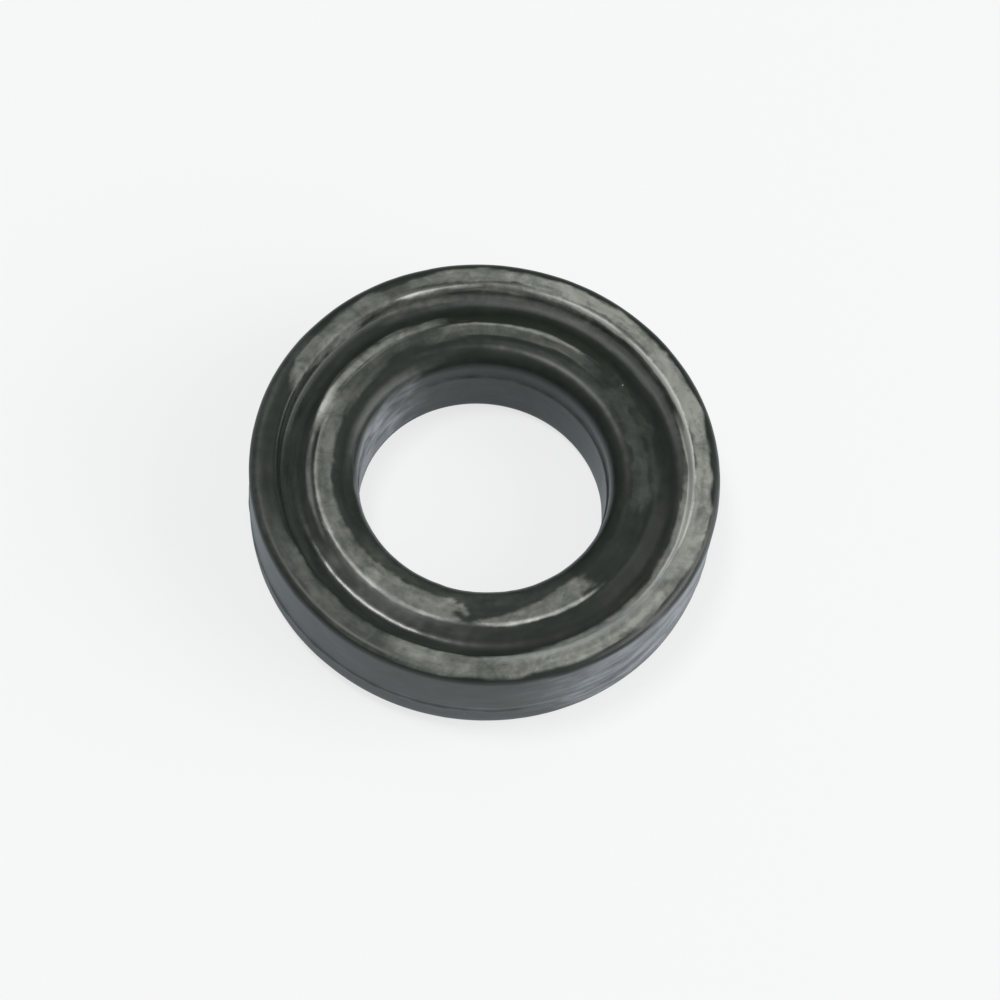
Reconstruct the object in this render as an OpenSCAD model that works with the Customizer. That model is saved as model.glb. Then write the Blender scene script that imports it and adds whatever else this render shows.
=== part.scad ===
// Valve cover bolt seal: one moulded rubber ring. It stands on its flat sealing face,
// with +Z up through the profiled top. The origin is the centre of the sealing face.
// Every diameter, width and height is in millimetres. Widths are measured along the radius.

/* [Ring] */
// Diameter of the outer wall
outer_d = 22; // [20:0.1:40]
// Diameter of the land in the bore, which grips the shoulder of the bolt
bore_d = 11.7; // [4:0.1:13]
// Height from the sealing face to the top of the rim
ring_h = 5.3; // [4:0.1:12]

/* [Rim and groove] */
// Width of the flat rim, from the outer wall to the edge of the groove
rim_w = 1.3; // [1:0.05:2]
// Width of the steep side, which drops from the rim into the groove
rim_side_w = 0.13; // [0.05:0.01:0.4]
// Height of the steep side
rim_side_h = 0.76; // [0.5:0.01:0.9]
// Width of the slope from the foot of the steep side to the line where the slopes would meet
rim_slope_w = 0.49; // [0.4:0.01:0.8]
// Width of the slope from that line up to the lip
lip_slope_w = 1.18; // [0.8:0.01:1.5]
// Depth of that line below the rim
groove_depth = 1.03; // [0.95:0.01:1.5]

/* [Lip round the bore] */
// Drop from the rim to the top of the lip
lip_drop = 0.65; // [0:0.05:0.8]

/* [Bore] */
// Height of the top of the land
land_top = 2.95; // [2.2:0.05:3.4]
// How much wider the bore is above the land, along the radius
bore_relief = 0.1; // [0.05:0.01:0.3]

/* [Roundings] */
// Radius of the outer edge of the rim
rim_edge_r = 0.45; // [0.1:0.05:0.8]
// Radius of the inner edge of the rim
rim_inner_edge_r = 0.2; // [0.05:0.05:0.5]
// Radius at the foot of the steep side
rim_foot_r = 0.2; // [0.05:0.01:0.3]
// Radius in the bottom of the groove
groove_r = 0.95; // [0.3:0.05:1.2]
// Radius of the outer edge of the lip
lip_edge_r = 0.3; // [0.1:0.05:1]
// Radius of the mouth of the bore
mouth_r = 0.95; // [0.2:0.05:1.2]
// Radius of the two edges of the step above the land
land_edge_r = 0.08; // [0.02:0.01:0.15]
// Radius of the bottom edge of the bore
bore_foot_r = 0.5; // [0.1:0.05:1.5]
// Radius of the bottom edge of the outer wall
wall_foot_r = 0.9; // [0.1:0.05:1.5]

/* [Parting line] */
// Height of the line where the two halves of the mould met
parting_z = 1.9; // [1.5:0.05:2.6]
// How far the flash stands out of the outer wall
flash_out = 0.08; // [0.02:0.01:0.3]
// Height of the root of the flash on the wall
flash_w = 0.3; // [0.1:0.05:0.6]

/* [Hidden] */
$fn = 128;

outer_r = outer_d / 2;
bore_r = bore_d / 2;
rim_inner_r = outer_r - rim_w;
rim_foot_x = rim_inner_r - rim_side_w;
groove_x = rim_foot_x - rim_slope_w;
lip_r = groove_x - lip_slope_w;
lip_z = ring_h - lip_drop;
wide_bore_r = bore_r + bore_relief;

// Corners of half the section, anticlockwise from the foot of the bore:
// each is [distance from the axis, height, radius of its rounding].
section_corners = [
    [bore_r, 0, bore_foot_r],
    [outer_r, 0, wall_foot_r],
    [outer_r, ring_h, rim_edge_r],
    [rim_inner_r, ring_h, rim_inner_edge_r],
    [rim_foot_x, ring_h - rim_side_h, rim_foot_r],
    [groove_x, ring_h - groove_depth, groove_r],
    [lip_r, lip_z, lip_edge_r],
    [wide_bore_r, lip_z, mouth_r],
    [wide_bore_r, land_top + bore_relief, land_edge_r],
    [bore_r, land_top, land_edge_r]
];

// Where two roundings would meet on a side that is too short for both,
// each keeps this share of its part of the side.
share_of_side = 0.95;

// Each circle is larger than its rounding by this much, so that it crosses the sides
// of its corner instead of only touching them.
overlap = 0.0002;

function corner_point(cs, i) = [cs[i][0], cs[i][1]];
function unit(v) = v / norm(v);
function cross_z(a, b) = a[0] * b[1] - a[1] * b[0];
function before(cs, i) = (i + len(cs) - 1) % len(cs);
function after(cs, i) = (i + 1) % len(cs);

// Length of the side between corners i and j, and the unit vector along it.
function side_length(cs, i, j) = norm(corner_point(cs, j) - corner_point(cs, i));
function towards(cs, i, j) = unit(corner_point(cs, j) - corner_point(cs, i));

// Half of the angle between the two sides that meet at corner i.
function half_angle(cs, i) =
    acos(towards(cs, i, before(cs, i)) * towards(cs, i, after(cs, i))) / 2;

// A corner is convex where the outline turns left at it.
function is_convex(cs, i) =
    cross_z(towards(cs, before(cs, i), i), towards(cs, i, after(cs, i))) > 0;

// How far along its sides a rounding of the asked radius would reach.
function wanted_reach(cs, i) = cs[i][2] / tan(half_angle(cs, i));

// The most that corner i may take of the side it shares with corner j.
function room_on_side(cs, i, j) =
    share_of_side * side_length(cs, i, j)
    * wanted_reach(cs, i) / (wanted_reach(cs, i) + wanted_reach(cs, j));

// The asked reach, unless a neighbouring rounding leaves less room than that.
function reach(cs, i) =
    min(wanted_reach(cs, i), room_on_side(cs, i, before(cs, i)), room_on_side(cs, i, after(cs, i)));
function rounding(cs, i) = reach(cs, i) * tan(half_angle(cs, i));

// Where the rounding of corner i leaves its two sides, and the centre of its arc.
function first_tangent(cs, i) =
    corner_point(cs, i) + reach(cs, i) * towards(cs, i, before(cs, i));
function last_tangent(cs, i) =
    corner_point(cs, i) + reach(cs, i) * towards(cs, i, after(cs, i));
function arc_centre(cs, i) =
    corner_point(cs, i)
    + rounding(cs, i) / sin(half_angle(cs, i))
    * unit(towards(cs, i, before(cs, i)) + towards(cs, i, after(cs, i)));

// How far behind the chord of corner i its larger circle has crossed both sides.
function crossing(cs, i) = sqrt(2 * rounding(cs, i) * overlap) * cos(half_angle(cs, i));

// The slice of the arc's circle on the corner's side of the chord. It starts half as
// far again behind the chord as the circle crosses the sides.
module arc_slice(cs, i) {
    a = first_tangent(cs, i);
    b = last_tangent(cs, i);
    along = rounding(cs, i) * unit(b - a);
    outwards = unit(corner_point(cs, i) - arc_centre(cs, i));
    behind = -1.5 * crossing(cs, i) * outwards;
    beyond = rounding(cs, i) * outwards;
    intersection() {
        translate(arc_centre(cs, i)) circle(r = rounding(cs, i) + overlap);
        polygon([a - along + behind, b + along + behind, b + along + beyond, a - along + beyond]);
    }
}

// A closed outline whose corners are rounded by true arcs: the chords of all the
// corners make a polygon, which gains a slice at each convex corner and loses one
// at each hollow corner.
module rounded_outline(cs) {
    ids = [for (i = [0 : len(cs) - 1]) i];
    difference() {
        union() {
            polygon([for (i = ids) each [first_tangent(cs, i), last_tangent(cs, i)]]);
            for (i = ids) if (is_convex(cs, i)) arc_slice(cs, i);
        }
        for (i = ids) if (!is_convex(cs, i)) arc_slice(cs, i);
    }
}

// The thin ridge that the mould left round the outer wall. Its root is sunk
// into the wall by as much as it stands out.
module flash_outline() {
    polygon([
        [outer_r - flash_out, parting_z - flash_w],
        [outer_r + flash_out, parting_z],
        [outer_r - flash_out, parting_z + flash_w]
    ]);
}

module seal_ring() {
    color("#2b302d")
    rotate_extrude() {
        rounded_outline(section_corners);
        flash_outline();
    }
}

seal_ring();
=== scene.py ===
"""Dresses the valve cover bolt seal, one moulded rubber ring, and lights it on a pale floor.

The ring is a body of revolution: the outline of its section, with every corner rounded by an
arc, is carried round the axis. Then each point moves a little along the outline's own normal,
because soft rubber is never quite even. Three fields lie on the points and drive the material:
the grey film of wax bloom, the thinner blue-grey haze, and the edges that handling has rubbed.
They carry painted light as well. Some film patches paint light and highlights in the groove,
on the rim's inner edge and on the lip. The pale lines on rubbed edges are painted highlights.
The haze also paints the reflection of the pale floor on the wall and in the bore.
Lengths are in millimetres and angles in degrees until they go into a mesh or a lamp, which are
in metres and radians.
"""

import logging
import math
from dataclasses import dataclass
from enum import Enum

import bpy
import numpy as np
from mathutils import Matrix, Vector


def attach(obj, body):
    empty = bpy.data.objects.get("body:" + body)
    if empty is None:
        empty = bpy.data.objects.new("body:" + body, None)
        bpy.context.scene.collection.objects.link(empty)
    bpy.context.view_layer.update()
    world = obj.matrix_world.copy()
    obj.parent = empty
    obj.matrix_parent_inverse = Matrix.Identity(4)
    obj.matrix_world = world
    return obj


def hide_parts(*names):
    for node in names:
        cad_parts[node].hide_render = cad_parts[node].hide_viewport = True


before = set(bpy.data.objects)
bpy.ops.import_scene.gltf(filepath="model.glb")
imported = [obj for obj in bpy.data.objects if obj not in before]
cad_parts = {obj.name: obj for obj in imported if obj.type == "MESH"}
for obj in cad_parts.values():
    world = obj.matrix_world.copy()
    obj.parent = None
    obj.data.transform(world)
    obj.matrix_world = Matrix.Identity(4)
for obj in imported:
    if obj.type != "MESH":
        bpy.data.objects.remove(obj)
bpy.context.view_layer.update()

MM = 0.001
LOG = logging.getLogger("seal")

# A noise node gives about 0.25 to 0.75, which the gain spreads to about -1 to 1.
NOISE_GAIN = 4.0
NOISE_ROUGHNESS = 0.6

# How far the ends of a patch wander round the ring, in degrees.
ENDS_WANDER = 5.0

# The azimuths of a patch without ends, which reach past a full turn both ways.
WHOLE_RING = (-400, 400)


# ---------------------------------------------------------------- colours and nodes

def linear(colour: str) -> tuple[float, float, float, float]:
    """Turns an sRGB hex colour into linear red, green, blue and an alpha of 1.

    Args:
        colour: a hex value such as "#2b302d".

    Returns:
        The linear colour by the sRGB curve: c / 12.92 below 0.04045, and above it
        ((c + 0.055) / 1.055) ** 2.4.
    """
    parts = [int(colour[i:i + 2], 16) / 255 for i in (1, 3, 5)]
    red, green, blue = (p / 12.92 if p <= 0.04045 else ((p + 0.055) / 1.055) ** 2.4 for p in parts)
    return red, green, blue, 1.0


class Mix(Enum):
    """What a Mix node blends: its data type, its two inputs and its output."""

    VALUES = ("FLOAT", 2, 3, 0)
    COLOURS = ("RGBA", 6, 7, 2)


@dataclass(frozen=True)
class Nodes:
    """The node tree of a material or of the room, and the kinds of node that go into it."""

    tree: bpy.types.NodeTree

    def add(self, kind: str, inputs: dict | None = None, **settings: object) -> bpy.types.Node:
        """Adds one node.

        Args:
            kind: the node's type name, such as "ShaderNodeMath".
            inputs: socket name or index to a value, or to the output socket that feeds it.
            settings: the node's own properties, such as operation="ADD".

        Returns:
            The new node.
        """
        node = self.tree.nodes.new(kind)
        for name, value in settings.items():
            setattr(node, name, value)
        for key, value in (inputs or {}).items():
            if isinstance(value, bpy.types.NodeSocket):
                self.tree.links.new(value, node.inputs[key])
            else:
                node.inputs[key].default_value = value
        return node

    def reckon(self, operation: str, *values: object, clamp: bool = False) -> bpy.types.NodeSocket:
        """One Math node's output, from numbers or sockets."""
        inputs = dict(enumerate(values))
        return self.add("ShaderNodeMath", inputs, operation=operation, use_clamp=clamp).outputs[0]

    def scaled(
        self, value: bpy.types.NodeSocket, factor: object, offset: object, clamp: bool = False,
    ) -> bpy.types.NodeSocket:
        """The value times the factor, plus the offset."""
        return self.reckon("MULTIPLY_ADD", value, factor, offset, clamp=clamp)

    def noise(
        self, place: bpy.types.NodeSocket, size_mm: float, detail: float, swirl: float = 0.0,
    ) -> bpy.types.NodeSocket:
        """Noise between about -1 and 1: the node's own, less a half, times the gain.

        Args:
            place: where it is looked up, in metres.
            size_mm: how wide its largest cells are.
            detail: how many octaves of smaller cells lie on them.
            swirl: how strongly the cells are bent.

        Returns:
            The noise.
        """
        inputs = {
            "Vector": place, "Scale": 1.0 / (size_mm * MM), "Detail": detail,
            "Roughness": NOISE_ROUGHNESS, "Distortion": swirl,
        }
        raw = self.add("ShaderNodeTexNoise", inputs).outputs["Fac"]
        return self.scaled(raw, NOISE_GAIN, -NOISE_GAIN / 2)

    def point_field(self, name: str, output: str = "Fac") -> bpy.types.NodeSocket:
        """A field of the mesh's points."""
        return self.add("ShaderNodeAttribute", attribute_name=name).outputs[output]

    def mix(self, kind: Mix, share: object, low: object, high: object) -> bpy.types.NodeSocket:
        """A blend that is low where the share is 0 and high where it is 1."""
        data_type, low_input, high_input, output = kind.value
        inputs = {0: share, low_input: low, high_input: high}
        return self.add("ShaderNodeMix", inputs, data_type=data_type).outputs[output]


def new_material(name: str) -> tuple[bpy.types.Material, Nodes]:
    """Makes an empty node material.

    Args:
        name: its name, which says what the thing is made of.

    Returns:
        The material and its nodes.
    """
    material = bpy.data.materials.new(name)
    material.use_nodes = True
    material.node_tree.nodes.clear()
    return material, Nodes(material.node_tree)


# ---------------------------------------------------------------- noise on the skin

def smooth_step(x: np.ndarray) -> np.ndarray:
    """The curve x * x * (3 - 2 x) between 0 and 1, held flat outside them."""
    x = np.clip(x, 0.0, 1.0)
    return x * x * (3.0 - 2.0 * x)


@dataclass(frozen=True)
class Mottle:
    """Smooth seeded noise on the skin of the ring, between about -1 and 1.

    Random values lie on a lattice of cells round the ring and along the section. A point
    takes a smooth blend of the four values round it. Each further octave has cells half as
    large, and counts the fade times as much.
    """

    cell_deg: float
    cell_mm: float
    seed: int
    octaves: int
    fade: float

    def at(self, azimuth: np.ndarray, along: np.ndarray) -> np.ndarray:
        """Works the noise out.

        Args:
            azimuth: degrees round the ring.
            along: millimetres along the section.

        Returns:
            The noise, in an array of the same shape.
        """
        random = np.random.default_rng(self.seed)
        total = np.zeros(azimuth.shape)
        weight_sum = 0.0
        for octave in range(self.octaves):
            around = max(3, round(360.0 / self.cell_deg * 2 ** octave))
            u = (azimuth % 360.0) / 360.0 * around
            v = along / self.cell_mm * 2 ** octave
            v = v - v.min()
            values = random.uniform(-1.0, 1.0, (around, int(v.max()) + 2))
            i, j = np.floor(u).astype(int), np.floor(v).astype(int)
            du, dv = smooth_step(u - i), smooth_step(v - j)
            i, i_next = i % around, (i + 1) % around
            low = values[i, j] * (1 - du) + values[i_next, j] * du
            high = values[i, j + 1] * (1 - du) + values[i_next, j + 1] * du
            weight = self.fade ** octave
            total += weight * (low * (1 - dv) + high * dv)
            weight_sum += weight
        return total / weight_sum


# ---------------------------------------------------------------- the section

class Bend(Enum):
    """The corners of the section, anticlockwise from the foot of the bore."""

    BORE_FOOT = "bore_foot"
    WALL_FOOT = "wall_foot"
    FLASH_BELOW = "flash_below"
    FLASH_TIP = "flash_tip"
    FLASH_ABOVE = "flash_above"
    RIM_OUTER = "rim_outer"
    RIM_INNER = "rim_inner"
    RIM_FOOT = "rim_foot"
    GROOVE = "groove"
    LIP = "lip"
    MOUTH = "mouth"
    RELIEF = "relief"
    LAND = "land"


@dataclass(frozen=True)
class Corner:
    """A corner of the section, and how finely it is cut.

    Its arc has arc_steps points, and the straight run after it has steps of about run_step.
    """

    bend: Bend
    r: float
    z: float
    rounding: float
    arc_steps: int = 3
    run_step: float = 0.06


@dataclass(frozen=True)
class Outline:
    """The closed outline of the section, anticlockwise, with no point repeated.

    Attributes:
        rows: each point's distance from the axis and its height.
        along: how far along the outline each point lies.
        middles: how far along it the middle of each corner's arc lies.
    """

    rows: np.ndarray
    along: np.ndarray
    middles: dict[Bend, float]

    def normals(self) -> np.ndarray:
        """The outward normals: the chord from neighbour to neighbour, turned a right angle."""
        chord = np.roll(self.rows, -1, axis=0) - np.roll(self.rows, 1, axis=0)
        chord /= np.linalg.norm(chord, axis=1, keepdims=True)
        return np.stack([chord[:, 1], -chord[:, 0]], axis=1)


@dataclass(frozen=True)
class RingSection:
    """Half of the ring's section, with the same sizes as the solid.

    Only the lip's outer edge and the flash are rounder here.
    """

    outer_r: float = 11.0
    bore_r: float = 5.85
    height: float = 5.3
    rim_w: float = 1.3
    rim_side_w: float = 0.13
    rim_side_h: float = 0.76
    rim_slope_w: float = 0.49
    lip_slope_w: float = 1.18
    groove_depth: float = 1.03
    lip_drop: float = 0.65
    bore_relief: float = 0.1
    land_top: float = 2.95
    rim_edge: float = 0.45
    rim_inner_edge: float = 0.2
    rim_foot: float = 0.2
    groove_bottom: float = 0.95
    lip_edge: float = 0.9
    mouth: float = 0.95
    land_edge: float = 0.08
    bore_foot: float = 0.5
    wall_foot: float = 0.9
    parting_z: float = 1.9
    flash_out: float = 0.08
    flash_half: float = 0.15
    flash_rounding: float = 0.03

    def corners(self) -> list[Corner]:
        """Places the corners.

        Returns:
            The section's corners in order.
        """
        rim_r = self.outer_r - self.rim_w
        foot_r = rim_r - self.rim_side_w
        foot_z = self.height - self.rim_side_h
        groove_r = foot_r - self.rim_slope_w
        groove_z = self.height - self.groove_depth
        lip_r = groove_r - self.lip_slope_w
        lip_z = self.height - self.lip_drop
        wide_r = self.bore_r + self.bore_relief
        relief_z = self.land_top + self.bore_relief
        tip_r = self.outer_r + self.flash_out
        below, above = self.parting_z - self.flash_half, self.parting_z + self.flash_half
        return [
            Corner(Bend.BORE_FOOT, self.bore_r, 0.0, self.bore_foot, arc_steps=7, run_step=0.95),
            Corner(Bend.WALL_FOOT, self.outer_r, 0.0, self.wall_foot, arc_steps=9, run_step=0.14),
            Corner(Bend.FLASH_BELOW, self.outer_r, below, self.flash_rounding),
            Corner(Bend.FLASH_TIP, tip_r, self.parting_z, self.flash_rounding),
            Corner(Bend.FLASH_ABOVE, self.outer_r, above, self.flash_rounding, run_step=0.14),
            Corner(
                Bend.RIM_OUTER, self.outer_r, self.height, self.rim_edge,
                arc_steps=10, run_step=0.09,
            ),
            Corner(
                Bend.RIM_INNER, rim_r, self.height, self.rim_inner_edge,
                arc_steps=8, run_step=0.09,
            ),
            Corner(Bend.RIM_FOOT, foot_r, foot_z, self.rim_foot, arc_steps=5),
            Corner(Bend.GROOVE, groove_r, groove_z, self.groove_bottom, arc_steps=9, run_step=0.08),
            Corner(Bend.LIP, lip_r, lip_z, self.lip_edge, arc_steps=7, run_step=0.09),
            Corner(Bend.MOUTH, wide_r, lip_z, self.mouth, arc_steps=16, run_step=0.13),
            Corner(Bend.RELIEF, wide_r, relief_z, self.land_edge),
            Corner(Bend.LAND, self.bore_r, self.land_top, self.land_edge, run_step=0.14),
        ]

    def outline(self) -> Outline:
        """Rounds the corners and cuts the outline into points.

        Each corner's arc touches its two sides at rounding / tan(half angle) from the corner,
        and its centre lies at rounding / sin(half angle) along the line that halves the angle.
        A straight run between two arcs is split into steps of about the corner's run_step.

        Returns:
            The outline.
        """
        corners = self.corners()
        points = np.array([(c.r, c.z) for c in corners])
        before = np.roll(points, 1, axis=0) - points
        after = np.roll(points, -1, axis=0) - points
        before /= np.linalg.norm(before, axis=1, keepdims=True)
        after /= np.linalg.norm(after, axis=1, keepdims=True)
        half = np.arccos(np.sum(before * after, axis=1)) / 2
        rounding = np.array([c.rounding for c in corners])
        first = points + before * (rounding / np.tan(half))[:, None]
        last = points + after * (rounding / np.tan(half))[:, None]
        middle = before + after
        middle /= np.linalg.norm(middle, axis=1, keepdims=True)
        centre = points + middle * (rounding / np.sin(half))[:, None]
        pieces, middles, count = [], {}, 0
        for i, corner in enumerate(corners):
            start, end = first[i] - centre[i], last[i] - centre[i]
            angle = math.atan2(start[0] * end[1] - start[1] * end[0], float(start @ end))
            turn = math.atan2(start[1], start[0]) + np.linspace(0.0, angle, corner.arc_steps)
            arc = centre[i] + rounding[i] * np.stack([np.cos(turn), np.sin(turn)], axis=1)
            run_to = first[(i + 1) % len(corners)]
            steps = max(1, round(float(np.linalg.norm(run_to - last[i])) / corner.run_step))
            share = np.linspace(0.0, 1.0, steps + 1)[1:-1, None]
            middles[corner.bend] = count + corner.arc_steps // 2
            pieces += [arc, last[i] * (1 - share) + run_to * share]
            count += corner.arc_steps + len(share)
        rows = np.concatenate(pieces)
        lengths = np.linalg.norm(np.diff(rows, axis=0), axis=1)
        along = np.concatenate([[0.0], np.cumsum(lengths)])
        return Outline(rows, along, {bend: float(along[k]) for bend, k in middles.items()})


# ---------------------------------------------------------------- the bloom

class Zone(Enum):
    """The parts of the skin, each from the middle of one corner's arc to that of another.

    The wall starts at its foot, and the bore runs on to the end of the outline.
    """

    WALL = (Bend.WALL_FOOT, Bend.RIM_OUTER)
    TOP = (Bend.RIM_OUTER, Bend.MOUTH)
    BORE = (Bend.MOUTH, None)


class Border(Enum):
    """The noises that make a patch's border wander.

    The long borders follow round blots, or streaks that run along the ring. The ends have a
    noise of their own.
    """

    BLOTS = "blots"
    STREAKS = "streaks"
    ENDS = "ends"


@dataclass(frozen=True)
class Skin:
    """The grid of points on the ring's skin, each an array of the same shape.

    Azimuths are in degrees anticlockwise from +X seen from above. The rest is in millimetres,
    and along is measured along the section's outline.
    """

    azimuth: np.ndarray
    radius: np.ndarray
    z: np.ndarray
    along: np.ndarray
    middles: dict[Bend, float]

    def inside(self, zone: Zone) -> np.ndarray:
        """1 on the zone and 0 elsewhere."""
        first, last = zone.value
        end = self.middles[last] if last else np.inf
        return ((self.along >= self.middles[first]) & (self.along < end)).astype(float)

    def across(self, zone: Zone) -> np.ndarray:
        """What a patch's borders are measured in: the radius on the top, the height elsewhere."""
        return self.radius if zone is Zone.TOP else self.z


@dataclass(frozen=True)
class Patch:
    """A patch on the skin, whose long borders wander in blots.

    Attributes:
        azimuth: where it starts and ends round the ring.
        across: its two borders, as radii on the top and as heights elsewhere.
        strength: how strong it is where it is whole.
        to: its two borders at its end, where they differ. They change evenly from across.
        soft: over how many millimetres it rises from 0 to its strength.
        ragged: by how many millimetres the borders wander.
        fade: over how many degrees it rises at its ends.
        border: the noise of its long borders.
    """

    azimuth: tuple[float, float]
    across: tuple[float, float]
    strength: float
    to: tuple[float, float] | None = None
    soft: float = 0.16
    ragged: float = 0.24
    fade: float = 3.0
    border: Border = Border.BLOTS

    def level(self, skin: Skin, zone: Zone, ragged: dict[Border, np.ndarray]) -> np.ndarray:
        """The patch's strength at each point.

        The patch is as wide as its two borders say in its middle, and narrows towards its ends
        as sqrt(1 - u ** 6), where u runs from -1 to 1 along it and wanders with the noise. The
        depth inside it is the distance to the nearer border plus the ragged noise. The
        strength rises with that depth, and with the distance from the ends.

        Args:
            skin: the points.
            zone: the part of the skin that it lies on.
            ragged: for each kind of border, noise between -1 and 1.

        Returns:
            The strength, 0 outside the patch.
        """
        first, last = self.across, self.to or self.across
        middle = (self.azimuth[0] + self.azimuth[1]) / 2
        half = (self.azimuth[1] - self.azimuth[0]) / 2
        off = (skin.azimuth - middle + 180.0) % 360.0 - 180.0 + ENDS_WANDER * ragged[Border.ENDS]
        share = np.clip(off / (2 * half) + 0.5, 0.0, 1.0)
        low = first[0] * (1 - share) + last[0] * share
        high = first[1] * (1 - share) + last[1] * share
        u = np.clip(np.abs(off) / half, 0.0, 1.0)
        half_width = (high - low) / 2 * np.sqrt(1 - u ** 6)
        from_middle = np.abs(skin.across(zone) - (low + high) / 2)
        depth = half_width - from_middle + self.ragged * ragged[self.border]
        inside = smooth_step(depth / self.soft + 0.5) * smooth_step((1 - u) * half / self.fade)
        return self.strength * inside * skin.inside(zone)


@dataclass(frozen=True)
class DrawnPatch(Patch):
    """A patch that wiping has drawn out, so that its long borders wander in streaks."""

    border: Border = Border.STREAKS


@dataclass(frozen=True)
class Layer:
    """The patches of one kind on each part of the skin. Where some overlap, the strongest holds."""

    top: tuple[Patch, ...] = ()
    wall: tuple[Patch, ...] = ()
    bore: tuple[Patch, ...] = ()

    def level(self, skin: Skin, ragged: dict[Border, np.ndarray]) -> np.ndarray:
        """The layer's strength at each point.

        Args:
            skin: the points.
            ragged: for each kind of border, noise between -1 and 1.

        Returns:
            The strength of the strongest patch.
        """
        by_zone = {Zone.TOP: self.top, Zone.WALL: self.wall, Zone.BORE: self.bore}
        return np.maximum.reduce([
            patch.level(skin, zone, ragged)
            for zone, patches in by_zone.items()
            for patch in patches
        ])


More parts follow.
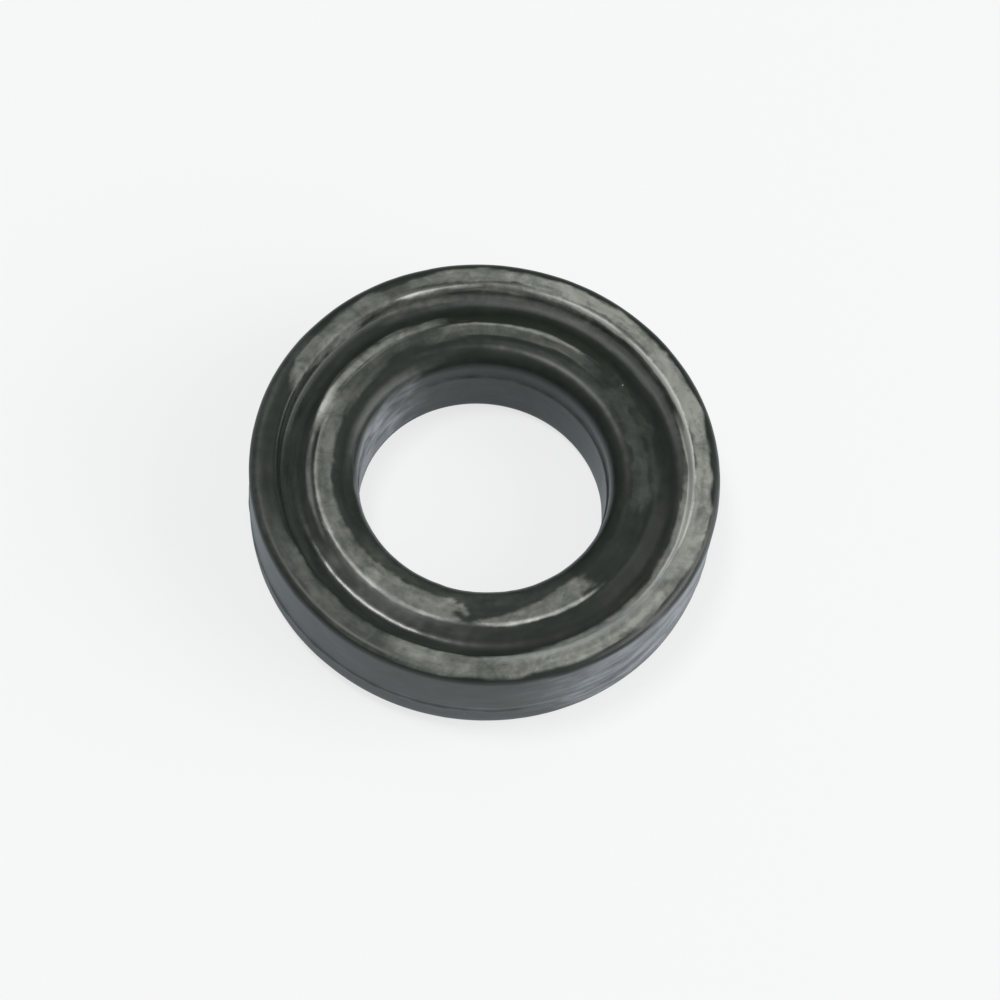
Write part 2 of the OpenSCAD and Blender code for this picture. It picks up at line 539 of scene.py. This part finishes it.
@dataclass(frozen=True)
class Bloom:
    """Where wax lies on the skin, how thick it is, and where handling has polished the rubber.

    Some film patches are painted light and highlights, and wax on a polished edge is a painted
    highlight. The haze also paints the reflection of the pale floor.
    """

    film_and_painted_light: Layer = Layer(
        top=(
            # On the rim.
            Patch((-166, -92), (9.85, 10.6), 0.3, to=(9.75, 10.7), soft=0.3, ragged=0.4, fade=38),
            DrawnPatch((140, 272), (10.45, 11.4), 0.1, soft=0.3, ragged=0.1, fade=12),
            Patch((-116, -68), (9.75, 10.86), 0.5, to=(9.75, 10.82), fade=12),
            Patch((-88, -44), (9.72, 10.8), 0.84, to=(9.6, 10.66), fade=8),
            Patch((-66, -8), (9.5, 10.66), 0.68, to=(9.5, 10.55), fade=8),
            # Over the rim's inner edge on the near right: film that is also a painted broad
            # highlight.
            DrawnPatch((-78, -4), (9.5, 9.92), 0.8, to=(9.5, 9.96), ragged=0.14, fade=14),
            DrawnPatch((-80, -12), (10.2, 10.7), 1.1, to=(10.14, 10.56), ragged=0.16, fade=12),
            Patch((-32, 58), (9.66, 10.66), 1.05, to=(9.86, 10.55)),
            Patch((36, 92), (9.84, 10.55), 1.0, to=(9.88, 10.5), fade=8),
            Patch((70, 121), (9.85, 10.55), 0.78, to=(9.85, 10.5), fade=8),
            Patch((122, 166), (9.62, 10.5), 0.56, to=(9.62, 10.3), fade=6),
            DrawnPatch((108, 134), (10.1, 10.45), 0.2, to=(10.0, 10.4), soft=0.3, ragged=0.3),
            # In the groove. The film on its outer wall, from the near right round to the far side,
            # also paints the light that falls there and the broad highlight under the rim's inner
            # edge. The thin streak along its far bottom is a painted highlight.
            Patch((-72, 16), (9.2, 9.85), 0.86, to=(9.3, 9.85), soft=0.14, ragged=0.14, fade=12),
            DrawnPatch((-24, 60), (9.25, 9.85), 0.2, soft=0.3, ragged=0.3),
            DrawnPatch((46, 136), (9.25, 9.85), 0.3, soft=0.3, ragged=0.3, fade=14),
            DrawnPatch((30, 118), (9.06, 9.32), 0.12, soft=0.12, ragged=0.16, fade=12),
            # On the lip.
            Patch((144, 240), (7.3, 7.98), 0.48, to=(6.95, 7.95), fade=20),
            Patch((226, 269), (6.95, 7.95), 0.55, to=(6.8, 7.95)),
            Patch((-92, -42), (7.8, 7.98), 0.5, to=(6.6, 7.95), ragged=0.12, fade=6),
            DrawnPatch((46, 122), (7.35, 7.85), 0.2, to=(7.35, 7.9), soft=0.2, ragged=0.6, fade=14),
            # Down the lip's outer slope on the far left: film that is also a painted highlight
            # band.
            DrawnPatch(
                (104, 176), (7.98, 8.42), 1.08, to=(7.98, 8.38), soft=0.2, ragged=0.2, fade=14,
            ),
            DrawnPatch((98, 172), (7.15, 7.9), 0.15, soft=0.2, ragged=0.5, fade=10),
            Patch((-12, 50), (6.95, 7.65), 0.1, to=(6.95, 7.6), soft=0.2, ragged=0.5, fade=8),
            Patch((-150, -40), (6.25, 6.95), 0.09, soft=0.4, ragged=0.3, fade=20),
            DrawnPatch((-20, 130), (6.25, 6.7), 0.015, soft=0.3, ragged=0.1, fade=20),
            DrawnPatch((18, 114), (6.75, 7.1), 0.065, soft=0.2, ragged=0.3, fade=18),
            Patch((-10, 60), (7.75, 8.2), 0.07, soft=0.3, ragged=0.4, fade=14),
            # A faint pale line on the lip's outer slope on the left, which is a painted reflection.
            DrawnPatch((150, 216), (8.12, 8.3), 0.22, ragged=0.1, fade=16),
            # Pale lines along the lip's outer edge and the rim's inner edge: wax left on a polished
            # edge, which also paints the highlights along these edges.
            Patch((140, 272), (7.84, 7.97), 0.75, soft=0.1, ragged=0.05, fade=50),
            Patch((-89, -38), (7.83, 7.98), 0.75, to=(7.81, 7.97), soft=0.1, ragged=0.05, fade=12),
            Patch((56, 112), (7.8, 7.98), 0.42, soft=0.12, ragged=0.08, fade=10),
            Patch((-60, 34), (9.46, 9.72), 1.5, to=(9.54, 9.76), soft=0.1, ragged=0.06, fade=22),
            Patch((-22, 98), (9.65, 9.79), 1.5, to=(9.65, 9.74), soft=0.06, ragged=0.02, fade=34),
            Patch((94, 126), (9.65, 9.74), 0.95, soft=0.06, ragged=0.03, fade=8),
        ),
    )
    haze_and_reflection: Layer = Layer(
        top=(
            # Over the rim's inner edge on the near right: haze that also paints the broad highlight
            # there.
            DrawnPatch((-88, 0), (9.4, 10.05), 1.0, to=(9.4, 10.0), soft=0.2, ragged=0.2, fade=16),
        ),
        wall=(
            # Lighter towards the foot of the wall, all round.
            DrawnPatch(WHOLE_RING, (-1.0, 2.9), 0.17, soft=1.4, ragged=0.6),
            # A strong streaky haze on the right of the wall, which also paints that side lighter,
            # where the lamps are.
            DrawnPatch((-84, 34), (0.8, 4.7), 0.82, to=(0.8, 5.0), soft=0.7, ragged=0.9, fade=34),
            DrawnPatch((-30, 128), (0.6, 4.9), 0.36, to=(0.9, 4.2), soft=0.9, ragged=1.0, fade=64),
            DrawnPatch((84, 196), (1.4, 4.6), 0.24, to=(0.7, 4.4), soft=0.9, ragged=1.0, fade=34),
            DrawnPatch((-114, -60), (2.02, 2.3), 0.45, soft=0.12, ragged=0.3),
            DrawnPatch((-152, -118), (1.2, 4.6), 0.07, soft=0.6, ragged=0.8),
        ),
        bore=(
            # The left of the bore, which faces the right, is pale: haze that also paints the
            # reflection of the pale floor.
            DrawnPatch((116, 250), (0.2, 4.2), 0.82, to=(0.4, 3.9), soft=0.9, ragged=0.5, fade=32),
            DrawnPatch((208, 330), (0.5, 3.8), 0.26, to=(0.3, 2.8), soft=0.9, ragged=0.6, fade=44),
            DrawnPatch(WHOLE_RING, (-1.0, 2.9), 0.035, soft=0.2, ragged=0.1),
            # A pale band round the land's top edge, which paints that edge's highlight.
            DrawnPatch(WHOLE_RING, (2.88, 3.12), 0.2, soft=0.1, ragged=0.05),
        ),
    )
    # Polished edges, which also mark where wax turns near-white as a painted highlight.
    rubbed_and_highlight: Layer = Layer(
        top=(
            Patch((-60, 36), (9.46, 9.76), 1.0, to=(9.54, 9.78), soft=0.1, ragged=0.06, fade=34),
            Patch((-26, 130), (9.62, 9.82), 1.1, to=(9.62, 9.78), soft=0.06, ragged=0.02, fade=14),
            Patch((156, 268), (7.8, 8.02), 0.55, soft=0.1, ragged=0.05, fade=12),
            Patch((-90, -36), (7.8, 8.02), 0.65, soft=0.1, ragged=0.05, fade=8),
            Patch((52, 116), (7.78, 8.04), 0.6, soft=0.1, ragged=0.05, fade=8),
            Patch((146, 278), (8.1, 9.4), 0.95, soft=0.3, ragged=0.1, fade=24),
            Patch((-129, -106), (10.7, 10.95), 0.8, soft=0.1, ragged=0.05, fade=8),
        ),
    )
    blots: Mottle = Mottle(8.0, 0.8, seed=11, octaves=4, fade=0.62)
    streaks: Mottle = Mottle(26.0, 0.3, seed=7, octaves=3, fade=0.6)
    ends: Mottle = Mottle(6.0, 0.45, seed=23, octaves=3, fade=0.6)
    thickness: Mottle = Mottle(13.0, 1.0, seed=5, octaves=4, fade=0.6)
    thickness_mean: float = 0.88
    thickness_swing: float = 0.52
    thickness_most: float = 1.15

    def fields(self, skin: Skin) -> dict[str, np.ndarray]:
        """Works out each layer's strength, which slow noise thickens and thins.

        Args:
            skin: the points.

        Returns:
            The strength at each point for the name of each field.
        """
        where = (skin.azimuth, skin.along)
        ragged = {
            Border.BLOTS: self.blots.at(*where),
            Border.STREAKS: self.streaks.at(*where),
            Border.ENDS: self.ends.at(*where),
        }
        thickness = self.thickness_mean + self.thickness_swing * self.thickness.at(*where)
        thickness = np.clip(thickness, 0.0, self.thickness_most)
        layers = {"film_and_painted_light": self.film_and_painted_light, "haze_and_reflection": self.haze_and_reflection, "rubbed_and_highlight": self.rubbed_and_highlight}
        return {name: layer.level(skin, ragged) * thickness for name, layer in layers.items()}


@dataclass(frozen=True)
class RubberFinish:
    """Compression-moulded black EPDM-type rubber with wax bloom.

    The moulded skin is a satin black with a faint green cast, from the carbon black and the
    oil in it. The wax that comes out of it in storage dries to a thin grey film, matt and
    patchy, which wiping draws into streaks along the ring. On the wall and in the bore the
    film is thinner and looks blue-grey. Handling rubs it off the edges and polishes them.
    Some of this is painted light. Where wax lies on a polished edge it turns near-white as a
    painted highlight, and some film patches paint light and highlights. The blue-grey haze also
    paints the reflection of the pale floor.

    Each noise lies between about -1 and 1, and is multiplied by its share where it is added.
    """

    skin: str = "#182219"
    skin_deep: str = "#101811"
    # The wax film's two shades, which in some patches also paint light and highlights.
    film_and_painted_light: str = "#a4a59c"
    thin_film_and_painted_light: str = "#80877f"
    # A near-white for wax on a polished edge, which paints a highlight along the edge.
    wax_line_and_highlight: str = "#eef0e8"
    # The blue-grey haze, which also paints the reflection of the pale floor on the wall and in the
    # bore.
    haze_and_reflection: str = "#9a9ea3"
    speck: str = "#8c9089"
    skin_roughness: float = 0.36
    film_roughness: float = 0.55
    rubbed_roughness: float = 0.19
    matting: float = 3.5
    ior: float = 1.52
    cloud_mm: float = 1.1
    cloud_detail: float = 4.0
    cloud_swirl: float = 1.2
    streak_mm: float = 0.42
    streak_detail: float = 4.0
    streak_length: float = 7.0
    blot_mm: float = 0.36
    blot_detail: float = 3.0
    grain_mm: float = 0.12
    grain_detail: float = 2.0
    film_mean: float = 0.96
    film_clouds: float = 0.3
    film_blots: float = 0.2
    film_streaks: float = 0.38
    film_grain: float = 0.1
    haze_mean: float = 0.88
    haze_streaks: float = 0.66
    haze_blots: float = 0.14
    veil: float = 0.05
    veil_mean: float = 0.3
    veil_streaks: float = 0.5
    speck_cell_mm: float = 2.1
    speck_mm: float = 0.045
    speckless: float = 0.62
    bump: float = 0.1
    bump_mm: float = 0.0015

    def build(self) -> bpy.types.Material:
        """Makes the material from the film, haze and rubbed fields of the ring's points, which
        carry some painted light too.

        Returns:
            The material.
        """
        material, nodes = new_material("moulded_black_rubber_with_wax_bloom")
        place = nodes.add("ShaderNodeTexCoord").outputs["Object"]
        clouds = nodes.noise(place, self.cloud_mm, self.cloud_detail, self.cloud_swirl)
        blots = nodes.noise(place, self.blot_mm, self.blot_detail)
        grain = nodes.noise(place, self.grain_mm, self.grain_detail)
        streaks = self.streaks(nodes)
        rubbed_and_highlight = nodes.point_field("rubbed_and_highlight")

        # How dense the film is where it lies, and a faint veil of streaks over all of the skin.
        # The haze is drawn out into stronger streaks than the film.
        dense = nodes.scaled(clouds, self.film_clouds, self.film_mean)
        dense = nodes.scaled(blots, self.film_blots, dense)
        dense = nodes.scaled(streaks, self.film_streaks, dense)
        dense = nodes.scaled(grain, self.film_grain, dense)
        veil = nodes.scaled(streaks, self.veil_streaks, self.veil_mean, clamp=True)
        veil = nodes.reckon("MULTIPLY", veil, self.veil)
        film_and_painted_light = nodes.scaled(nodes.point_field("film_and_painted_light"), dense, veil, clamp=True)
        drawn = nodes.scaled(streaks, self.haze_streaks, self.haze_mean)
        drawn = nodes.scaled(blots, self.haze_blots, drawn)
        haze_and_reflection = nodes.reckon("MULTIPLY", nodes.point_field("haze_and_reflection"), drawn, clamp=True)

        # Clouds turn the skin and the wax from one shade to the other. Where wax lies on a polished
        # edge it turns near-white, which is a painted highlight along the edge.
        half_clouds = nodes.scaled(clouds, 0.5, 0.5, clamp=True)
        skin = nodes.mix(Mix.COLOURS, half_clouds, linear(self.skin_deep), linear(self.skin))
        wax_and_highlight = nodes.mix(Mix.COLOURS, half_clouds, linear(self.thin_film_and_painted_light), linear(self.film_and_painted_light))
        wax_and_highlight = nodes.mix(Mix.COLOURS, rubbed_and_highlight, wax_and_highlight, linear(self.wax_line_and_highlight))
        # The blue-grey haze, which also paints the reflection of the pale floor.
        skin_with_haze_and_reflection = nodes.mix(Mix.COLOURS, haze_and_reflection, skin, linear(self.haze_and_reflection))
        coated = nodes.mix(Mix.COLOURS, film_and_painted_light, skin_with_haze_and_reflection, wax_and_highlight)
        colour = nodes.mix(Mix.COLOURS, self.specks(nodes, place), coated, linear(self.speck))

        # Even a thin film makes the skin matt, and polishing makes both of them glossy.
        covered = nodes.reckon("MAXIMUM", film_and_painted_light, haze_and_reflection)
        covered = nodes.reckon("MULTIPLY", covered, self.matting, clamp=True)
        matt = nodes.mix(Mix.VALUES, covered, self.skin_roughness, self.film_roughness)
        roughness = nodes.mix(Mix.VALUES, rubbed_and_highlight, matt, self.rubbed_roughness)
        relief = {"Strength": self.bump, "Distance": self.bump_mm * MM, "Height": grain}
        bumpy = nodes.add("ShaderNodeBump", relief).outputs[0]
        shader = nodes.add(
            "ShaderNodeBsdfPrincipled",
            {"Base Color": colour, "Roughness": roughness, "Normal": bumpy, "IOR": self.ior},
        ).outputs[0]
        nodes.add("ShaderNodeOutputMaterial", {"Surface": shader})
        return material

    def streaks(self, nodes: Nodes) -> bpy.types.NodeSocket:
        """Makes noise that is drawn out round the ring.

        Args:
            nodes: the material's nodes.

        Returns:
            Noise whose cells are streak_length times longer round the ring than across it.
        """
        shrink = 1.0 / self.streak_length
        unrolled = nodes.point_field("unrolled", "Vector")
        drawn_out = nodes.add(
            "ShaderNodeVectorMath", {0: unrolled, 1: (shrink, shrink, 1.0)}, operation="MULTIPLY",
        ).outputs[0]
        return nodes.noise(drawn_out, self.streak_mm, self.streak_detail)

    def specks(self, nodes: Nodes, place: bpy.types.NodeSocket) -> bpy.types.NodeSocket:
        """Scatters specks of dust: one small dot in some cells of a Voronoi pattern.

        Args:
            nodes: the material's nodes.
            place: the point on the ring, in metres.

        Returns:
            1 in a speck and 0 elsewhere.
        """
        cells = nodes.add(
            "ShaderNodeTexVoronoi",
            {"Vector": place, "Scale": 1.0 / (self.speck_cell_mm * MM)}, feature="F1",
        )
        share_of_cell = self.speck_mm / self.speck_cell_mm
        near = nodes.reckon("LESS_THAN", cells.outputs["Distance"], share_of_cell)
        chosen = nodes.reckon("GREATER_THAN", cells.outputs["Color"], self.speckless)
        return nodes.reckon("MULTIPLY", near, chosen)


# ---------------------------------------------------------------- the ring

@dataclass(frozen=True)
class SealRing:
    """The moulded ring: its section, its small unevenness, its bloom and its finish.

    Attributes:
        around: how many points lie on each circle.
        uneven_mm: how far a point may move along the outline's normal.
        even_below_mm: below this height the move fades out towards the sealing face.
        flash_mean: the mean height of the torn flash, as a share of its full height.
        flash_least: the least height of the flash, as a share of its full height.
        flash_waves: waves in the flash's height, each as a size, a count and a phase.
    """

    section: RingSection = RingSection()
    bloom: Bloom = Bloom()
    finish: RubberFinish = RubberFinish()
    around: int = 540
    uneven_mm: float = 0.018
    even_below_mm: float = 1.0
    unevenness: Mottle = Mottle(8.0, 1.6, seed=3, octaves=3, fade=0.5)
    flash_mean: float = 0.72
    flash_least: float = 0.15
    flash_waves: tuple[tuple[float, int, float], ...] = (
        (0.16, 5, 0.6), (0.14, 23, 2.0), (0.12, 61, 0.0),
    )

    def skin(self, outline: Outline) -> Skin:
        """Carries the outline round the axis.

        Args:
            outline: the outline of the section.

        Returns:
            The grid of points, with one row for each azimuth.
        """
        azimuth = np.arange(self.around) * 360.0 / self.around - 180.0
        a_grid, r_grid = np.meshgrid(azimuth, outline.rows[:, 0], indexing="ij")
        z_grid = np.broadcast_to(outline.rows[:, 1], a_grid.shape)
        along_grid = np.broadcast_to(outline.along, a_grid.shape)
        return Skin(a_grid, r_grid, z_grid, along_grid, outline.middles)

    def points(self, outline: Outline, skin: Skin) -> np.ndarray:
        """Places the points in space.

        A point is (r cos a, r sin a, z) for the azimuth a, after a small move along the
        outline's own normal. What stands out past the wall is the flash, whose height changes
        round the ring by the sum of its waves, size * sin(count * a + phase).

        Args:
            outline: the outline of the section.
            skin: the even grid of points.

        Returns:
            Each point's x, y and z in metres.
        """
        a = np.radians(skin.azimuth)
        torn = self.flash_mean
        for size, count, phase in self.flash_waves:
            torn = torn + size * np.sin(count * a + phase)
        flash = np.maximum(skin.radius - self.section.outer_r, 0.0)
        missing = flash * (1 - np.clip(torn, self.flash_least, 1.0))
        uneven = self.uneven_mm * self.unevenness.at(skin.azimuth, skin.along)
        uneven = uneven * smooth_step(skin.z / self.even_below_mm)
        normals = outline.normals()
        r = skin.radius - missing + uneven * normals[:, 0]
        z = skin.z + uneven * normals[:, 1]
        return np.stack([r * np.cos(a), r * np.sin(a), z], axis=-1) * MM

    def mesh(self, points: np.ndarray) -> bpy.types.Mesh:
        """Joins each point to the next along the outline and round the ring.

        Args:
            points: the grid of points, with one row for each azimuth.

        Returns:
            A closed mesh of four-sided faces that face outwards.
        """
        rows, columns = points.shape[:2]
        index = np.arange(rows * columns).reshape(rows, columns)
        right = np.roll(index, -1, axis=0)
        up, right_up = np.roll(index, -1, axis=1), np.roll(right, -1, axis=1)
        faces = np.stack([index, right, right_up, up], axis=-1)
        mesh = bpy.data.meshes.new("seal_ring_moulding")
        mesh.vertices.add(rows * columns)
        mesh.vertices.foreach_set("co", points.astype(np.float32).ravel())
        mesh.loops.add(faces.size)
        mesh.loops.foreach_set("vertex_index", faces.astype(np.int32).ravel())
        mesh.polygons.add(rows * columns)
        mesh.polygons.foreach_set("loop_start", np.arange(0, faces.size, 4, dtype=np.int32))
        mesh.polygons.foreach_set("use_smooth", np.ones(rows * columns, dtype=bool))
        mesh.update(calc_edges=True)
        return mesh

    def dress(self, mesh: bpy.types.Mesh, skin: Skin) -> None:
        """Puts the fields on the mesh and gives it its finish.

        The unrolled field is each point's place on a cylinder as wide as the ring, with the way
        along the outline as its height. Streaks are looked up there.

        Args:
            mesh: the ring's mesh.
            skin: the even grid of points.
        """
        for name, values in self.bloom.fields(skin).items():
            self.add_field(mesh, name, values)
        a, r = np.radians(skin.azimuth), self.section.outer_r
        unrolled = np.stack([r * np.cos(a), r * np.sin(a), skin.along], axis=-1) * MM
        self.add_field(mesh, "unrolled", unrolled)
        mesh.materials.append(self.finish.build())

    @staticmethod
    def add_field(mesh: bpy.types.Mesh, name: str, values: np.ndarray) -> None:
        """Adds a field to the points of a mesh.

        Args:
            mesh: the mesh.
            name: the field's name.
            values: one number for each point, or one x, y and z.
        """
        is_vector = values.shape[-1] == 3
        kind, key = ("FLOAT_VECTOR", "vector") if is_vector else ("FLOAT", "value")
        attribute = mesh.attributes.new(name, kind, "POINT")
        attribute.data.foreach_set(key, values.astype(np.float32).ravel())

    def build(self) -> bpy.types.Object:
        """Builds the ring, which stands for the solid of the same form.

        Returns:
            The ring's object.
        """
        outline = self.section.outline()
        skin = self.skin(outline)
        mesh = self.mesh(self.points(outline, skin))
        self.dress(mesh, skin)
        ring = bpy.data.objects.new("moulded_ring", mesh)
        bpy.context.scene.collection.objects.link(ring)
        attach(ring, "root")
        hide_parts("seal_ring")
        return ring


# ---------------------------------------------------------------- the studio

def direction(azimuth: float, elevation: float) -> Vector:
    """The unit vector that points from the ring at an azimuth and an elevation."""
    a, e = math.radians(azimuth), math.radians(elevation)
    return Vector((math.cos(a) * math.cos(e), math.sin(a) * math.cos(e), math.sin(e)))


@dataclass(frozen=True)
class SoftLamp:
    """A white rectangular soft lamp that points at the ring, described as the ring sees it.

    It reaches from one direction to another, each an azimuth and an elevation, and is
    width_deg wide across that line.
    """

    name: str
    start: tuple[float, float]
    end: tuple[float, float]
    width_deg: float
    radiance: float
    distance_mm: float = 650.0

    def build(self) -> None:
        """Makes the lamp. Its power is radiance * pi * area, as a flat white source gives."""
        start, end = direction(*self.start), direction(*self.end)
        away = (start + end).normalized()
        length = 2 * self.distance_mm * math.tan(start.angle(end) / 2) * MM
        width = 2 * self.distance_mm * math.tan(math.radians(self.width_deg) / 2) * MM
        data = bpy.data.lights.new(self.name, "AREA")
        data.shape = "RECTANGLE"
        data.size, data.size_y = length, width
        data.energy = self.radiance * math.pi * length * width
        lamp = bpy.data.objects.new(self.name, data)
        x_axis = (end - start).normalized()
        turned = Matrix((x_axis, away.cross(x_axis), away)).transposed().to_4x4()
        lamp.matrix_world = Matrix.Translation(away * self.distance_mm * MM) @ turned
        bpy.context.scene.collection.objects.link(lamp)


@dataclass(frozen=True)
class Viewpoint:
    """The camera: it looks at the centre of the sealing face from the near side.

    Attributes:
        elevation: how steeply it looks down.
        distance_mm: how far away it is.
        roll: how far it is turned about its own line of sight.
        focal_px: the focal length, as pixels of an image that is image_px wide.
        centre_px: where the centre of the sealing face lies in that image, from its top left.
    """

    elevation: float = 63.45
    distance_mm: float = 132.0
    roll: float = 7.19
    focal_px: float = 2739.2
    centre_px: tuple[float, float] = (479.6, 514.1)
    image_px: float = 1000.0
    sensor_mm: float = 36.0
    nearest_mm: float = 5.0

    def build(self) -> None:
        """Makes the camera.

        The lens is focal_px * sensor / image size, and the shift puts the centre of the
        sealing face at centre_px.
        """
        data = bpy.data.cameras.new("camera")
        data.sensor_width = self.sensor_mm
        data.lens = self.focal_px * self.sensor_mm / self.image_px
        data.shift_x = (self.image_px / 2 - self.centre_px[0]) / self.image_px
        data.shift_y = (self.centre_px[1] - self.image_px / 2) / self.image_px
        data.clip_start = self.nearest_mm * MM
        e, roll = math.radians(self.elevation), math.radians(self.roll)
        back = Vector((0.0, -math.cos(e), math.sin(e)))
        tilt = Matrix.Rotation(math.pi / 2 - e, 4, "X") @ Matrix.Rotation(roll, 4, "Z")
        camera = bpy.data.objects.new("camera", data)
        camera.matrix_world = Matrix.Translation(back * self.distance_mm * MM) @ tilt
        bpy.context.scene.collection.objects.link(camera)
        bpy.context.scene.camera = camera


@dataclass(frozen=True)
class CardFinish:
    """Matt white card.

    Camera and glossy rays see a part of it as an even glow, so that it stays pale and keeps
    only a faint shadow. What mirrors in the ring is a little bluer than the card itself.
    """

    card: str = "#f4f4f6"
    roughness: float = 0.8
    specular: float = 0.1
    glow: str = "#ffffff"
    glow_mirrored: str = "#dce7ef"
    glow_share: float = 0.72

    def build(self) -> bpy.types.Material:
        """Makes the material.

        Returns:
            The material.
        """
        material, nodes = new_material("matt_white_card")
        surface = {
            "Base Color": linear(self.card), "Roughness": self.roughness,
            "Specular IOR Level": self.specular,
        }
        card = nodes.add("ShaderNodeBsdfPrincipled", surface).outputs[0]
        path = nodes.add("ShaderNodeLightPath").outputs
        direct, glossy = path["Is Camera Ray"], path["Is Glossy Ray"]
        tint = nodes.mix(Mix.COLOURS, direct, linear(self.glow_mirrored), linear(self.glow))
        glow = nodes.add("ShaderNodeEmission", {"Color": tint, "Strength": 1.0}).outputs[0]
        share = nodes.reckon("MULTIPLY", nodes.reckon("MAXIMUM", direct, glossy), self.glow_share)
        mixed = nodes.add("ShaderNodeMixShader", {0: share, 1: card, 2: glow}).outputs[0]
        nodes.add("ShaderNodeOutputMaterial", {"Surface": mixed})
        return material


@dataclass(frozen=True)
class Studio:
    """The floor, the room, the lamps and the camera."""

    viewpoint: Viewpoint = Viewpoint()
    card: CardFinish = CardFinish()
    floor_half_mm: float = 3000.0
    room_colour: str = "#eef3f0"
    room_level: float = 0.31
    lamps: tuple[SoftLamp, ...] = (
        SoftLamp("lamp_over_left", (190.0, 82.0), (160.0, 68.5), width_deg=8.0, radiance=26.0),
        SoftLamp("lamp_right_low", (-38.0, 18.0), (24.0, 18.0), width_deg=16.0, radiance=4.8),
        SoftLamp("lamp_right", (-24.0, 38.0), (24.0, 38.0), width_deg=22.0, radiance=2.7),
    )

    def floor(self) -> None:
        """Makes the pale floor that the ring lies on."""
        half = self.floor_half_mm * MM
        corners = [(-half, -half, 0), (half, -half, 0), (half, half, 0), (-half, half, 0)]
        mesh = bpy.data.meshes.new("floor")
        mesh.from_pydata(corners, [], [(0, 1, 2, 3)])
        mesh.materials.append(self.card.build())
        floor = bpy.data.objects.new("floor", mesh)
        bpy.context.scene.collection.objects.link(floor)

    def room(self) -> None:
        """Makes an even dim room, which fills the shadows."""
        world = bpy.data.worlds.new("room")
        bpy.context.scene.world = world
        world.use_nodes = True
        world.node_tree.nodes.clear()
        nodes = Nodes(world.node_tree)
        glow = {"Color": linear(self.room_colour), "Strength": self.room_level}
        light = nodes.add("ShaderNodeBackground", glow).outputs[0]
        nodes.add("ShaderNodeOutputWorld", {"Surface": light})

    def build(self) -> None:
        """Makes everything that isn't the ring."""
        self.viewpoint.build()
        self.room()
        self.floor()
        for lamp in self.lamps:
            lamp.build()


def main() -> None:
    """Builds the studio and the ring."""
    logging.basicConfig(level=logging.INFO, format="%(message)s")
    bpy.context.scene.view_settings.view_transform = "Standard"
    Studio().build()
    ring = SealRing().build()
    LOG.info("%s: %d faces", ring.name, len(ring.data.polygons))


if __name__ == "__main__":
    main()
